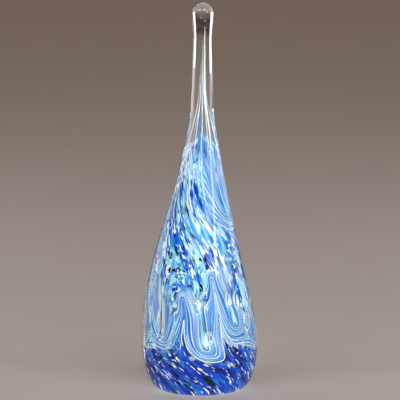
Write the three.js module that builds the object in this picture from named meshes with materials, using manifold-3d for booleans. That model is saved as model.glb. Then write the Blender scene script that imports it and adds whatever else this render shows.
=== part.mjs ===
// A hand-blown ring holder in cased glass: a solid clear cone that stands on a small
// ground foot and draws out into a long neck with a rounded tip. Inside it is a core of
// glass rolled in coloured chips, whose colours were raked downwards into hanging loops,
// and two drawn threads of colour run up the neck.
// Millimetres, +Z up, the middle of the foot at the origin, the front towards -Y.

import * as THREE from 'three';
import { mergeVertices } from 'three/addons/utils/BufferGeometryUtils.js';
import Module from 'manifold-3d';

// Driving dimensions. An outline is given by the places where it turns: its radius and
// height there, how far it leans outwards going up (degrees from upright), and how long it
// keeps that direction before and after the place (millimetres).
const HEIGHT = 150;
const GLASS_LINE = [
  { at: 'foot edge', radius: 14.5, z: 0, lean: 88, after: 5.3 },
  { at: 'belly', radius: 22.48, z: 21.9, lean: 0, before: 13.9, after: 8.7 },
  { at: 'shoulder', radius: 11.9, z: 71.06, lean: -14.57, before: 15.5, after: 11.4 },
  { at: 'neck', radius: 4.53, z: 109.34, lean: -1.15, before: 8, after: 8 },
  { at: 'waist', radius: 3.58, z: 136.18, lean: 0, before: 7, after: 3.5 },
  { at: 'tip', radius: 4.2, z: 146, lean: 0, before: 3.2, after: 2.3 },
  { at: 'top', radius: 0, z: HEIGHT, lean: -90, before: 2.3 },
];
const CORE_END_Z = 102;
const CORE_LINE = [
  { at: 'foot edge', radius: 12.2, z: 0, lean: 14.3, after: 5.7 },
  { at: 'belly', radius: 14.4, z: 17, lean: 0, before: 7, after: 15 },
  { at: 'shoulder', radius: 7.6, z: 70, lean: -8.8, before: 16.2, after: 7.1 },
  { at: 'top', radius: 4.6, z: 94, lean: -9, before: 7, after: 5 },
  { at: 'drawn end', radius: 1.2, z: CORE_END_Z, lean: -3.4, before: 5 },
];
const LAYER_THICKNESS = 2.4;
const HEART_TOP_Z = 84;

// The cone was made by hand, so its axis bows a little and its core sits off centre.
const TIP_LEAN = 0.8;
const BELLY_BOW = 1.65;
const BOW_Z = 47;
const BOW_REACH = 28;
const CORE_OFFSET = 1.15;
const CORE_CENTRED_Z = 105;
const CORE_OFFSET_REACH = 40;
const FOOT_OFFSET_LOSS = 0.65;
const FOOT_OFFSET_TOP_Z = 40;
const FOOT_OFFSET_REACH = 32;

// Fits between the pieces, and how finely round shapes are divided.
const SKIN_GAP = 0.05;
const POCKET_GAP = 0.3;
const CUT_THROUGH = 1;
const AROUND = 28;
const GLASS_PER_CURVE = 5;
const CORE_PER_CURVE = 4;
const LOOP_SIDES = 5;
const LOOP_STEPS = 13;
const THREAD_SIDES = 6;
const THREAD_STEPS = 4;

const COLOURS = {
  clear: { color: '#dfe6ea', roughness: 0.03, metalness: 0, transparent: true, opacity: 0.25 },
  skyBlue: { color: '#3f8fe0', roughness: 0.2, metalness: 0 },
  heart: { color: '#8fb9e8', roughness: 0.2, metalness: 0 },
  white: { color: '#e9eef2', roughness: 0.2, metalness: 0 },
  green: { color: '#12392b', roughness: 0.2, metalness: 0 },
  cobalt: { color: '#1227a8', roughness: 0.2, metalness: 0 },
};

// Threads drawn up the neck: height of the top, radius at both ends and place beside the
// axis.
const THREADS = [
  { name: 'blue_thread', colour: 'cobalt', top: 128, foot: 0.5, tip: 0.3, beside: -0.55 },
  { name: 'white_thread', colour: 'white', top: 141, foot: 0.35, tip: 0.25, beside: 0.6 },
];
const THREAD_FOOT_Z = CORE_END_Z + 0.4;
const BORE_FOOT_Z = CORE_END_Z - 0.5;

// Air trapped where the rake was pushed in. Degrees from the front towards +X, then
// millimetres: height above the foot, width and length of the bubble.
const BUBBLES = [
  { azimuth: -66, z: 26, width: 3.2, length: 9 },
  { azimuth: -4, z: 32.5, width: 3, length: 5 },
  { azimuth: 8, z: 21, width: 3.4, length: 4.6 },
  { azimuth: 46, z: 34, width: 2.2, length: 5 },
  { azimuth: 63, z: 33.5, width: 2.2, length: 5 },
  { azimuth: 128, z: 27, width: 3, length: 7 },
  { azimuth: -150, z: 31, width: 2.8, length: 6 },
];

// White loops raked down around the bubbles: lowest point, spread in degrees, height of
// the arms, and how far the arms lean sideways in degrees.
const LOOPS = [
  { azimuth: -68, bottom: 17.5, spread: 34, height: 21, lean: 14 },
  { azimuth: -3, bottom: 28.4, spread: 22, height: 12, lean: -2 },
  { azimuth: 9, bottom: 15.2, spread: 30, height: 8.5, lean: -2 },
  { azimuth: 55, bottom: 27, spread: 40, height: 15, lean: -2 },
  { azimuth: 56, bottom: 21.5, spread: 66, height: 26, lean: -6 },
  { azimuth: 128, bottom: 20, spread: 44, height: 22, lean: -10 },
  { azimuth: -152, bottom: 24, spread: 44, height: 20, lean: 8 },
];
const LOOP_RADIUS = 0.85;
const LOOP_DEPTH = 0.35;
const LOOP_ROUNDNESS = 2.2;
const LOOP_SQUARENESS = 2.4;
const LOOP_POINTS = 8;

// Chips of coloured glass melted into the core's surface: place, length, width, and tilt
// of the long way in degrees from level.
const CHIPS = {
  white: [
    { azimuth: -6, z: 67, long: 5, wide: 1.8, tilt: -40 },
    { azimuth: 33, z: 63, long: 5, wide: 1.6, tilt: -30 },
    { azimuth: 56, z: 53, long: 4.6, wide: 1.8, tilt: -30 },
    { azimuth: 42, z: 12, long: 4.4, wide: 1.6, tilt: -30 },
    { azimuth: -52, z: 8, long: 3.6, wide: 1.8, tilt: -20 },
    { azimuth: -33, z: 13, long: 3.4, wide: 1.6, tilt: 35 },
    { azimuth: -84, z: 56, long: 5, wide: 2, tilt: -5 },
    { azimuth: 96, z: 14, long: 3.6, wide: 1.8, tilt: -20 },
    { azimuth: 160, z: 12, long: 4, wide: 1.8, tilt: -25 },
    { azimuth: -105, z: 46, long: 4.4, wide: 1.8, tilt: -15 },
  ],
  green: [
    { azimuth: -56, z: 54, long: 5.4, wide: 1.8, tilt: 6 },
    { azimuth: -36, z: 47, long: 2.6, wide: 1.6, tilt: -10 },
    { azimuth: -16, z: 50.5, long: 3, wide: 1.8, tilt: -30 },
    { azimuth: -46, z: 72, long: 3, wide: 1.6, tilt: -30 },
    { azimuth: 10, z: 7, long: 2.8, wide: 1.5, tilt: -35 },
    { azimuth: -20, z: 5.6, long: 2.6, wide: 1.5, tilt: -30 },
    { azimuth: 170, z: 52, long: 4, wide: 1.8, tilt: -15 },
  ],
  cobalt: [
    { azimuth: -27, z: 78, long: 3.4, wide: 1.8, tilt: -30 },
    { azimuth: 22, z: 54, long: 5, wide: 2, tilt: -45 },
    { azimuth: -76, z: 44, long: 4, wide: 2, tilt: -10 },
    { azimuth: 66, z: 9, long: 4, wide: 2, tilt: -30 },
    { azimuth: 120, z: 58, long: 4.4, wide: 2, tilt: -25 },
    { azimuth: -110, z: 12, long: 4.4, wide: 2, tilt: -20 },
  ],
};
const CHIP_THICKNESS = 2;
const CHIP_DEPTH = 0.35;

const wasm = await Module();
wasm.setup();

// An outline as points (radius, z) on smooth curves through its places.
function outlineThrough(places, perCurve) {
  const path = new THREE.Path();
  const handle = (place, length) => {
    const lean = THREE.MathUtils.degToRad(place.lean);
    return [place.radius + length * Math.sin(lean), place.z + length * Math.cos(lean)];
  };
  path.moveTo(places[0].radius, places[0].z);
  for (let i = 1; i < places.length; i += 1) {
    const [from, to] = [places[i - 1], places[i]];
    path.bezierCurveTo(...handle(from, from.after), ...handle(to, -to.before), to.radius, to.z);
  }
  return path.getPoints(perCurve);
}

const glassLine = outlineThrough(GLASS_LINE, GLASS_PER_CURVE);
const coreLine = outlineThrough(CORE_LINE, CORE_PER_CURVE);

function radiusAt(line, z) {
  const above = line.findIndex((point) => point.y >= z);
  if (above < 1) return line[above === 0 ? 0 : line.length - 1].x;
  const low = line[above - 1];
  const high = line[above];
  return THREE.MathUtils.mapLinear(z, low.y, high.y, low.x, high.x);
}

// Sideways place of the glass axis, and of the core's own axis, at a height.
function glassShift(z) {
  return TIP_LEAN * (z / HEIGHT) - BELLY_BOW * Math.exp(-(((z - BOW_Z) / BOW_REACH) ** 2));
}

function coreShift(z) {
  const share = THREE.MathUtils.clamp((CORE_CENTRED_Z - z) / CORE_OFFSET_REACH, 0, 1);
  const low = THREE.MathUtils.clamp((FOOT_OFFSET_TOP_Z - z) / FOOT_OFFSET_REACH, 0, 1);
  return glassShift(z) + CORE_OFFSET * share - FOOT_OFFSET_LOSS * low;
}

// A three.js geometry as a manifold solid, and a manifold solid as a geometry again.
function solidOf(geometry) {
  geometry.deleteAttribute('normal');
  geometry.deleteAttribute('uv');
  const merged = mergeVertices(geometry, 1e-4);
  const corners = Array.from(merged.index.array);
  const triangles = [];
  for (let i = 0; i < corners.length; i += 3) {
    const [a, b, c] = corners.slice(i, i + 3);
    if (a !== b && b !== c && c !== a) triangles.push(a, b, c);
  }
  return new wasm.Manifold(new wasm.Mesh({
    numProp: 3,
    vertProperties: new Float32Array(merged.attributes.position.array),
    triVerts: new Uint32Array(triangles),
  }));
}

function geometryOf(solid) {
  const mesh = solid.getMesh();
  const geometry = new THREE.BufferGeometry();
  geometry.setAttribute('position', new THREE.BufferAttribute(mesh.vertProperties, 3));
  geometry.setIndex(new THREE.BufferAttribute(mesh.triVerts, 1));
  geometry.computeVertexNormals();
  return geometry;
}

// A round solid from its outline, standing on +Z and moved sideways by shift(z).
function turned(outline, shift, segments = AROUND) {
  const geometry = new THREE.LatheGeometry(outline, segments);
  geometry.rotateX(Math.PI / 2);
  const place = geometry.attributes.position;
  for (let i = 0; i < place.count; i += 1) place.setX(i, place.getX(i) + shift(place.getZ(i)));
  return solidOf(geometry);
}

// An outline closed on the axis, made wider all round by grow, and with its foot lowered.
function closed(line, grow = 0, drop = 0) {
  const side = line.map((point) => new THREE.Vector2(point.x + grow, point.y));
  if (drop > 0) side.unshift(side[0].clone().setY(-drop));
  const end = side[side.length - 1];
  const points = [new THREE.Vector2(0, side[0].y), ...side];
  if (end.x > 0) points.push(new THREE.Vector2(0, end.y + grow));
  return points;
}

// A point on the core's surface, or under it, at degrees from the front and a height.
function corePoint(azimuth, z, depth = 0) {
  const angle = THREE.MathUtils.degToRad(azimuth);
  const radius = radiusAt(coreLine, z) - depth;
  return new THREE.Vector3(
    coreShift(z) + radius * Math.sin(angle), -radius * Math.cos(angle), z);
}

// Turns a shape onto the core's surface: its x goes level along it, its y up, its z outwards.
function surfaceTurn(azimuth, tilt) {
  const turn = new THREE.Matrix4().makeRotationZ(THREE.MathUtils.degToRad(azimuth));
  turn.multiply(new THREE.Matrix4().makeRotationX(Math.PI / 2));
  turn.multiply(new THREE.Matrix4().makeRotationZ(THREE.MathUtils.degToRad(tilt)));
  return turn;
}

function threadSolid(thread, footZ, grow) {
  const foot = new THREE.Vector2(thread.foot + grow, footZ);
  const tip = new THREE.Vector2(thread.tip + grow, thread.top + grow);
  const outline = [new THREE.Vector2(0, foot.y), foot];
  for (let step = 1; step < THREAD_STEPS; step += 1) {
    outline.push(foot.clone().lerp(tip, step / THREAD_STEPS));
  }
  outline.push(tip, new THREE.Vector2(0, tip.y));
  return turned(outline, (z) => glassShift(z) + thread.beside, THREAD_SIDES);
}

function bubbleSolid(bubble) {
  const geometry = new THREE.SphereGeometry(1, 8, 6);
  geometry.scale(bubble.width / 2, bubble.length / 2, bubble.width / 2);
  geometry.applyMatrix4(surfaceTurn(bubble.azimuth, 0));
  const place = corePoint(bubble.azimuth, bubble.z);
  geometry.translate(place.x, place.y, place.z);
  return solidOf(geometry);
}

function loopSolid(loop, radius) {
  const points = [];
  for (let step = -LOOP_POINTS; step <= LOOP_POINTS; step += 1) {
    const share = step / LOOP_POINTS;
    const rise = Math.abs(share) ** LOOP_ROUNDNESS;
    const across = Math.tanh(LOOP_SQUARENESS * share) / Math.tanh(LOOP_SQUARENESS);
    const azimuth = loop.azimuth + (loop.spread / 2) * across + loop.lean * rise;
    points.push(corePoint(azimuth, loop.bottom + loop.height * rise, LOOP_DEPTH));
  }
  const section = new THREE.Shape();
  section.setFromPoints(new THREE.EllipseCurve(0, 0, radius, radius).getPoints(LOOP_SIDES)
    .slice(0, LOOP_SIDES));
  const curve = new THREE.CatmullRomCurve3(points);
  return solidOf(new THREE.ExtrudeGeometry(section,
    { steps: LOOP_STEPS, bevelEnabled: false, extrudePath: curve }));
}

function chipSolid(chip, grow) {
  const geometry = new THREE.IcosahedronGeometry(1, 0);
  geometry.scale(chip.long / 2 + grow, chip.wide / 2 + grow, CHIP_THICKNESS / 2 + grow);
  geometry.applyMatrix4(surfaceTurn(chip.azimuth, chip.tilt));
  const place = corePoint(chip.azimuth, chip.z, CHIP_DEPTH);
  geometry.translate(place.x, place.y, place.z);
  return solidOf(geometry);
}

const part = new THREE.Group();

function add(name, solid, colour) {
  const mesh = new THREE.Mesh(geometryOf(solid), new THREE.MeshStandardMaterial(COLOURS[colour]));
  mesh.name = name;
  part.add(mesh);
}

// Shapes that several pieces are cut to.
const coreEnvelope = turned(closed(coreLine), coreShift);
const bubbles = BUBBLES.map(bubbleSolid).reduce((all, one) => all.add(one));

// Clear casing with its neck and tip: open underneath, where the core was ground flush.
let hollow = turned(closed(coreLine, SKIN_GAP, CUT_THROUGH), coreShift).add(bubbles);
for (const thread of THREADS) hollow = hollow.add(threadSolid(thread, BORE_FOOT_Z, POCKET_GAP));
add('clear_casing', turned(closed(glassLine), glassShift).subtract(hollow), 'clear');

// Heart of the core: the first gather of glass, which the colours were rolled onto.
const heartLine = coreLine.filter((point) => point.y < HEART_TOP_Z)
  .map((point) => new THREE.Vector2(point.x - LAYER_THICKNESS, point.y));
add('inner_gather', turned(closed(heartLine), coreShift), 'heart');

// Colour layer around the heart, cut away for the bubbles, loops and chips set in it.
let layer = coreEnvelope.subtract(turned(closed(heartLine, SKIN_GAP, CUT_THROUGH), coreShift))
  .subtract(bubbles);

LOOPS.forEach((loop, index) => {
  layer = layer.subtract(loopSolid(loop, LOOP_RADIUS + POCKET_GAP));
  const set = loopSolid(loop, LOOP_RADIUS).intersect(coreEnvelope);
  add(`white_loop_${index + 1}`, set, 'white');
});

for (const [colour, chips] of Object.entries(CHIPS)) {
  chips.forEach((chip, index) => {
    layer = layer.subtract(chipSolid(chip, POCKET_GAP));
    add(`${colour}_chip_${index + 1}`, chipSolid(chip, 0).intersect(coreEnvelope), colour);
  });
}

add('colour_layer', layer, 'skyBlue');

for (const thread of THREADS) add(thread.name, threadSolid(thread, THREAD_FOOT_Z, 0), thread.colour);

export default part;
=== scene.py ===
"""A hand-blown ring holder in cased glass.

A clear casing with a long neck lies over a core of glass rolled in coloured chips. The
colours were twisted, raked down into hanging loops round trapped bubbles, and drawn up
the neck as threads. Shape sizes are in millimetres and become metres at the mesh.
"""

import math

import bpy
import numpy as np
from bpy.props import FloatProperty, FloatVectorProperty, IntProperty, PointerProperty
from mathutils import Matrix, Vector


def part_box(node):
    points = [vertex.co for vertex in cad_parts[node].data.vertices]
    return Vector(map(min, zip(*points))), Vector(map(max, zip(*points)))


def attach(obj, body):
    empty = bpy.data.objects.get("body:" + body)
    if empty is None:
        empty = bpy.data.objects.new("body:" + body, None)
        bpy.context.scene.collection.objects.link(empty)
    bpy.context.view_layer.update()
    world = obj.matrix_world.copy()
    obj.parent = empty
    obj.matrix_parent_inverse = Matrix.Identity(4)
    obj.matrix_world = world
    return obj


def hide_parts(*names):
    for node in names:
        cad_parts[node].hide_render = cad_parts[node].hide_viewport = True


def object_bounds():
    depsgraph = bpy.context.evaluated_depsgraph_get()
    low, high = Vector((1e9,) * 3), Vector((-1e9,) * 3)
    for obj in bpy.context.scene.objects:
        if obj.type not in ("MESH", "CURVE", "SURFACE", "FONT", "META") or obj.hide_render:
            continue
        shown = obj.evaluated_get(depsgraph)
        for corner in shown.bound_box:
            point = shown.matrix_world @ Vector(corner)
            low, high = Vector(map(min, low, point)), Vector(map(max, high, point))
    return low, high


bl_info = {
    "name": "Cased glass ring holder",
    "version": (1, 0, 0),
    "blender": (4, 5, 0),
    "location": "View3D > Sidebar > Ring holder",
    "description": "Makes a ring holder of clear glass over a marbled core",
    "category": "Add Mesh",
}

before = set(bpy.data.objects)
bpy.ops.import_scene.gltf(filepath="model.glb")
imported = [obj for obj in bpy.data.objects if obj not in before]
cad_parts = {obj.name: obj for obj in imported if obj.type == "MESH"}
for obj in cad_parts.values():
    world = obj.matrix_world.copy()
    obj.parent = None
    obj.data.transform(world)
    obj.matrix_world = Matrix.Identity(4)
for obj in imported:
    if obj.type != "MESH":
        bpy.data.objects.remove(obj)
cad_low, cad_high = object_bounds()

MM = 0.001
HEIGHT = (cad_high.z - cad_low.z) / MM
FULL_TURN = 2 * math.pi

# Outlines in millimetres, as radius, height, degrees that the outline leans outwards going
# up, and how far it keeps that direction before and after the place.
GLASS_LINE = (
    (14.5, 0.0, 88.0, 0.0, 5.3),  # foot edge
    (22.48, 21.9, 0.0, 13.9, 8.7),  # belly
    (11.9, 71.06, -14.57, 15.5, 11.4),  # shoulder
    (4.53, 109.34, -1.15, 8.0, 8.0),  # neck
    (3.58, 136.18, 0.0, 7.0, 3.5),  # waist
    (4.2, 146.0, 0.0, 3.2, 2.3),  # tip
    (0.0, HEIGHT, -90.0, 2.3, 0.0),  # top
)
CORE_LINE = (
    (12.2, 0.0, 14.3, 0.0, 5.7),  # foot edge
    (14.4, 17.0, 0.0, 7.0, 15.0),  # belly
    (7.6, 70.0, -8.8, 16.2, 7.1),  # shoulder
    (4.6, 94.0, -9.0, 7.0, 5.0),  # top
    (1.2, 102.0, -3.4, 5.0, 0.0),  # drawn end
)
# Points on each curve of an outline, the core's top, the colour layer's thickness, the top
# of the heart inside it, and small gaps: above the foot, and between layer and heart.
CURVE_POINTS = 60
CORE_TOP = 101.8
LAYER = 2.4
HEART_TOP = 84.0
FOOT_RECESS = 0.06
FIT = 0.05

# Where the core's top splits into tongues, how far below its point a tongue starts to
# narrow, its least share of the radius and how full its shoulder is. Then each tongue:
# degrees from the front, width in degrees and height of the point.
SPLIT = 92.0
TONGUE_TAPER = 7.0
TONGUE_STEM = 0.08
TONGUE_FULLNESS = 0.7
TONGUES = (
    (-62.0, 30.0, 100.5),
    (-8.0, 11.0, 103.0),
    (58.0, 24.0, 101.5),
    (112.0, 20.0, 99.0),
    (165.0, 24.0, 104.0),
    (-125.0, 22.0, 100.0),
)

# Sideways, in millimetres: the casing leans up to its tip and bows back round its belly, and
# the core sits off the casing's centre, less so in the foot and not at all near its top.
TIP_LEAN = 0.8
BELLY_BOW = 1.65
BOW_HEIGHT = 47.0
BOW_REACH = 28.0
CORE_OFFSET = 1.15
CORE_CENTRED = 105.0
CORE_OFFSET_REACH = 40.0
FOOT_OFFSET_LOSS = 0.65
FOOT_OFFSET_TOP = 40.0
FOOT_OFFSET_REACH = 32.0

# Trapped air: degrees from the front, height, width, length, thickness, how much the
# upper end tapers (0 to 1), and how far the middle stands out from the core's surface.
BUBBLES = (
    (-66.0, 28.5, 4.2, 15.0, 1.7, 0.75, 0.2),
    (-4.0, 35.0, 3.4, 5.6, 2.2, 0.2, 0.3),
    (6.0, 22.0, 2.2, 5.4, 1.8, 0.3, 0.3),
    (13.0, 22.4, 2.0, 5.0, 1.8, 0.3, 0.3),
    (46.0, 36.0, 2.2, 5.6, 1.9, 0.4, 0.3),
    (62.0, 35.4, 2.4, 5.6, 1.9, 0.4, 0.3),
    (128.0, 27.0, 3.4, 9.0, 2.2, 0.6, 0.3),
    (-150.0, 31.0, 3.0, 7.0, 2.0, 0.5, 0.3),
    (-12.0, 15.4, 1.6, 1.6, 1.2, 0.0, 0.3),
    (30.0, 47.0, 1.3, 1.8, 1.0, 0.2, 0.3),
    (178.0, 20.0, 2.6, 4.4, 1.8, 0.3, 0.3),
)

# How wide and long the dent under a bubble is, as shares of the bubble, and how much
# deeper it is than the bubble needs.
DENT_WIDTH = 0.75
DENT_LENGTH = 0.62
DENT_GAP = 0.35

# Middles of two pin-prick bubbles in the tip, in millimetres.
BEAD_SEEDS = ((0.3, -2.0, 144.6), (1.6, -1.6, 143.2))

# Rake strokes, in the order they were made: degrees from the front and height where the
# rake stopped, length of the stroke (less than 0 for an upward one), reach of its drag,
# share of the glass that follows, and sideways run for each millimetre of height.
STROKES = (
    (76.0, 69.0, 29.0, 11.5, 0.95, 0.12),
    (-64.0, 22.0, 24.0, 7.6, 0.93, 0.0),
    (57.0, 23.5, 27.0, 7.4, 0.95, -0.02),
    (7.0, 18.0, 27.0, 7.0, 0.94, 0.1),
    (-27.0, 38.0, -22.0, 3.5, 0.92, 0.12),
    (-4.0, 39.0, -8.0, 4.2, 0.7, 0.0),
    (18.0, 46.0, -30.0, 3.2, 0.88, 0.07),
    (104.0, 20.0, 20.0, 7.0, 0.95, 0.0),
    (143.0, 26.0, 20.0, 6.5, 0.95, -0.1),
    (-112.0, 21.0, 21.0, 7.0, 0.95, -0.1),
    (-152.0, 27.0, 22.0, 7.0, 0.95, -0.15),
    (180.0, 16.0, 18.0, 6.0, 0.95, 0.0),
)
# Each small step of a stroke as a share of its reach, and how much glass flows back beside.
STROKE_STEP = 0.15
RETURN_FLOW = 0.5
# Strokes that white lines are laid across (one given twice has twice the lines), and strokes
# that leave a milky trail, each with the bubble at the trail's lower end.
LINED_STROKES = (1, 2, 3, 7, 8, 9, 10, 11, 0, 0)
TRAILED_STROKES = ((1, 0), (2, 4), (8, 6), (10, 7))

# How many times closer than on the blank level layers are where their stripes begin to
# show, how much more until they show fully, and how much the stripes drift sideways.
COMB_START = 1.5
COMB_RANGE = 1.3
LAYER_DRIFT = 0.12

# The surface laid flat: millimetres for each degree round the core, and the whole way round.
# Then, at heights above the foot, the twist as sideways run for each millimetre of height,
# and how many times longer the glass was drawn.
BAND = math.radians(12.0)
LAP = 360.0 * BAND
TWIST_HEIGHTS = (0, 12, 18, 24, 45, 55, 65, 78, 88, 110)
TWIST_SLOPES = (1.0, 0.9, 0.4, 0.14, 0.2, 0.5, 0.8, 0.4, 0.2, 0.2)
DRAWN_HEIGHTS = (-10, 10, 20, 45, 60, 80, 100, 130)
DRAWN_OUT = (2.2, 2.2, 1.7, 1.5, 3.2, 6.5, 9.0, 9.0)

# Height on the blank where the foot's colours end, how softly, and how far the combed
# stripes are held back in them.
FOOT_COLOUR_TOP = 20.5
FOOT_COLOUR_FADE = 3.0
FOOT_UNCOMBED = 0.8

# The paler top of the core: its lower edge and how softly it starts, the streams that stay
# blue through it (degrees and width), and its specks: how many of each colour, and where.
PALE_TOP = 79.0
PALE_FADE = 4.0
BLUE_STREAMS = ((10.0, 32.0), (168.0, 20.0))
SPECKLES = {"white": 46, "green": 8, "cobalt": 26}
SPECKLE_AZIMUTHS = (-110.0, -18.0)
SPECKLE_HEIGHTS = (81.0, 98.5)

# Milk over a bubble: width and length as shares of the bubble, and share of milk.
BUBBLE_MILK = (0.62, 0.55, 0.85)
# Milk in a trail: width as a share of the stroke's reach, share of milk, and millimetres
# that it takes to start and to fade.
TRAIL_MILK = (0.22, 0.7, 3.0, 12.0)
# Milky patches: degrees from the front, height, half width in degrees, half height, share.
MILKY_PATCHES = (
    (-40.0, 74.0, 14.0, 7.0, 0.85),
    (4.0, 88.0, 9.0, 8.0, 0.8),
    (14.0, 68.0, 10.0, 5.0, 0.6),
    (48.0, 45.5, 13.0, 6.0, 0.7),
    (-16.0, 55.0, 9.0, 5.0, 0.6),
    (120.0, 62.0, 14.0, 9.0, 0.6),
    (-140.0, 70.0, 16.0, 8.0, 0.6),
)


def linear(red, green, blue):
    """A colour as an eye sees it on a screen, turned into light."""
    return tuple((c / 12.92) if c <= 0.04045 else ((c + 0.055) / 1.055) ** 2.4
                 for c in (red, green, blue))


# ---- settings

def colour_setting(name, description, *shade):
    return FloatVectorProperty(name=name, description=description, default=shade,
                               subtype="COLOR")


def length_setting(name, description, default):
    return FloatProperty(name=name, description=description, default=default, unit="LENGTH")


class RingHolderGlass(bpy.types.PropertyGroup):
    """Sizes of the clear casing."""

    ripple: length_setting("Ripple", "Height of the soft waves left by hand shaping", 0.00006)
    striae: length_setting("Striae", "Height of the drawn lines along the neck", 0.00003)
    seeds: IntProperty(
        name="Seeds", description="How many pin-prick bubbles float in the clear glass",
        default=26)
    tint: colour_setting("Tint", "Colour that the clear glass lets through",
                         0.975, 0.985, 0.99)


class RingHolderColours(bpy.types.PropertyGroup):
    """Colours and sizes of the glass chips in the core."""

    sky: colour_setting("Sky blue", "Commonest chip colour", *linear(0.18, 0.50, 0.85))
    azure: colour_setting("Azure", "Lighter blue chips", *linear(0.34, 0.68, 0.92))
    royal: colour_setting("Royal blue", "Middle blue chips", *linear(0.07, 0.32, 0.81))
    aqua: colour_setting("Aqua", "Pale green-blue chips", *linear(0.66, 0.90, 0.93))
    teal: colour_setting("Teal", "A few greener chips", *linear(0.36, 0.74, 0.72))
    white: colour_setting("White", "White chips and lines", *linear(0.95, 0.99, 0.96))
    cobalt: colour_setting("Cobalt", "Deepest blue, near the foot", *linear(0.02, 0.19, 0.71))
    navy: colour_setting("Navy", "Shaded blue between the chips of the foot",
                         *linear(0.04, 0.10, 0.45))
    dark: colour_setting("Dark green", "Near-black green chips", *linear(0.02, 0.09, 0.11))
    lilac: colour_setting("Lilac", "Milky trail above each bubble", *linear(0.80, 0.86, 0.92))
    chip: length_setting("Chip size", "Width of the large chips before they were raked", 0.003)
    line: length_setting("Line thickness", "Thickness of the raked white lines", 0.00048)
    chip_seed: IntProperty(
        name="Chip seed", description="Changes where the loose chips lie", default=4)


class RingHolderStage(bpy.types.PropertyGroup):
    """The floor and the light."""

    floor: colour_setting("Floor", "Colour of the pale floor", 0.40, 0.37, 0.345)
    power: FloatProperty(
        name="Light", description="Share of the studio light's full power",
        default=1.0, subtype="FACTOR")


# ---- shape of the glass

def outline(places):
    """Points (radius, height) on smooth curves through the places of an outline."""
    line = []
    share = np.linspace(0, 1, CURVE_POINTS)[:, None]
    for low, high in zip(places, places[1:]):
        ends = []
        for place, length in ((low, low[4]), (high, -high[3])):
            lean = math.radians(place[2])
            handle = (place[0] + length * math.sin(lean), place[1] + length * math.cos(lean))
            ends.append((np.array(place[:2]), np.array(handle)))
        (start, leave), (stop, arrive) = ends
        line.append((1 - share) ** 3 * start + 3 * (1 - share) ** 2 * share * leave
                    + 3 * (1 - share) * share ** 2 * arrive + share ** 3 * stop)
    return np.vstack(line)


glass_line = outline(GLASS_LINE)
core_line = outline(CORE_LINE)


def core_radius(height):
    return np.interp(height, core_line[:, 1], core_line[:, 0])


def short_way(degrees):
    """An angle in degrees, taken the short way round."""
    return (degrees + 180) % 360 - 180


def spot(azimuth, height, middle, level, width, tall):
    """Squared distance from the middle of a soft patch, as a share of its half sizes."""
    return (short_way(azimuth - middle) / width) ** 2 + ((height - level) / tall) ** 2


def tongue_share(azimuth, height):
    """Share of the core's radius that is left where its top splits into drawn-up tongues."""
    reach = np.zeros(np.shape(azimuth))
    for middle, width, top in TONGUES:
        across = short_way(azimuth - middle) / width
        reach = np.maximum(reach, (top - SPLIT) * np.exp(-across ** 2))
    left = np.clip((SPLIT + reach - height) / TONGUE_TAPER, TONGUE_STEM, 1)
    return left ** TONGUE_FULLNESS


def glass_shift(height):
    """Sideways place of the casing's axis."""
    bow = np.exp(-(((height - BOW_HEIGHT) / BOW_REACH) ** 2))
    return TIP_LEAN * height / HEIGHT - BELLY_BOW * bow


def core_shift(height):
    """Sideways place of the core's axis."""
    share = np.clip((CORE_CENTRED - height) / CORE_OFFSET_REACH, 0, 1)
    low = np.clip((FOOT_OFFSET_TOP - height) / FOOT_OFFSET_REACH, 0, 1)
    return glass_shift(height) + CORE_OFFSET * share - FOOT_OFFSET_LOSS * low


def around(shift, radius, azimuth, height):
    """Points in metres at degrees from the front, on circles round a shifted axis."""
    angle = np.radians(azimuth)
    flat = np.broadcast_to(height, angle.shape) if np.ndim(height) == 0 else height
    return np.stack([shift + radius * np.sin(angle), -radius * np.cos(angle), flat], -1) * MM


def dent(azimuth, height):
    """How deep the bubbles press into the core."""
    depth = np.zeros(np.broadcast(azimuth, height).shape)
    for bubble in BUBBLES:
        place, middle, width, length, thick, _, proud = bubble
        gap = spot(azimuth, height, place, middle, width * DENT_WIDTH / BAND,
                   length * DENT_LENGTH)
        depth = np.maximum(depth, (thick / 2 - proud + DENT_GAP) * np.exp(-gap ** 1.5))
    return depth


def core_points(azimuth, height, proud=0.0):
    """Points on the core's surface in metres, dents included."""
    radius = core_radius(height) * tongue_share(azimuth, height)
    radius = radius + proud - dent(azimuth, height)
    return around(core_shift(height), radius, azimuth, height)


# ---- flow of the colours

def wrapped(across):
    """A distance round the flat band, taken the short way."""
    return (across + LAP / 2) % LAP - LAP / 2


def summed(heights, rates, height):
    """Adds up a rate that changes with height, from the lowest height given."""
    fine = np.linspace(heights[0], heights[-1], 300)
    rate = np.interp(fine, heights, rates)
    total = np.concatenate([[0], np.cumsum((rate[1:] + rate[:-1]) / 2 * np.diff(fine))])
    return np.interp(height, fine, total)


def twist(height):
    return summed(TWIST_HEIGHTS, TWIST_SLOPES, height)


def drawn(height):
    """Height on the blank before it was drawn out, for a height on the finished core."""
    return summed(DRAWN_HEIGHTS, [1 / stretch for stretch in DRAWN_OUT], height)


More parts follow.
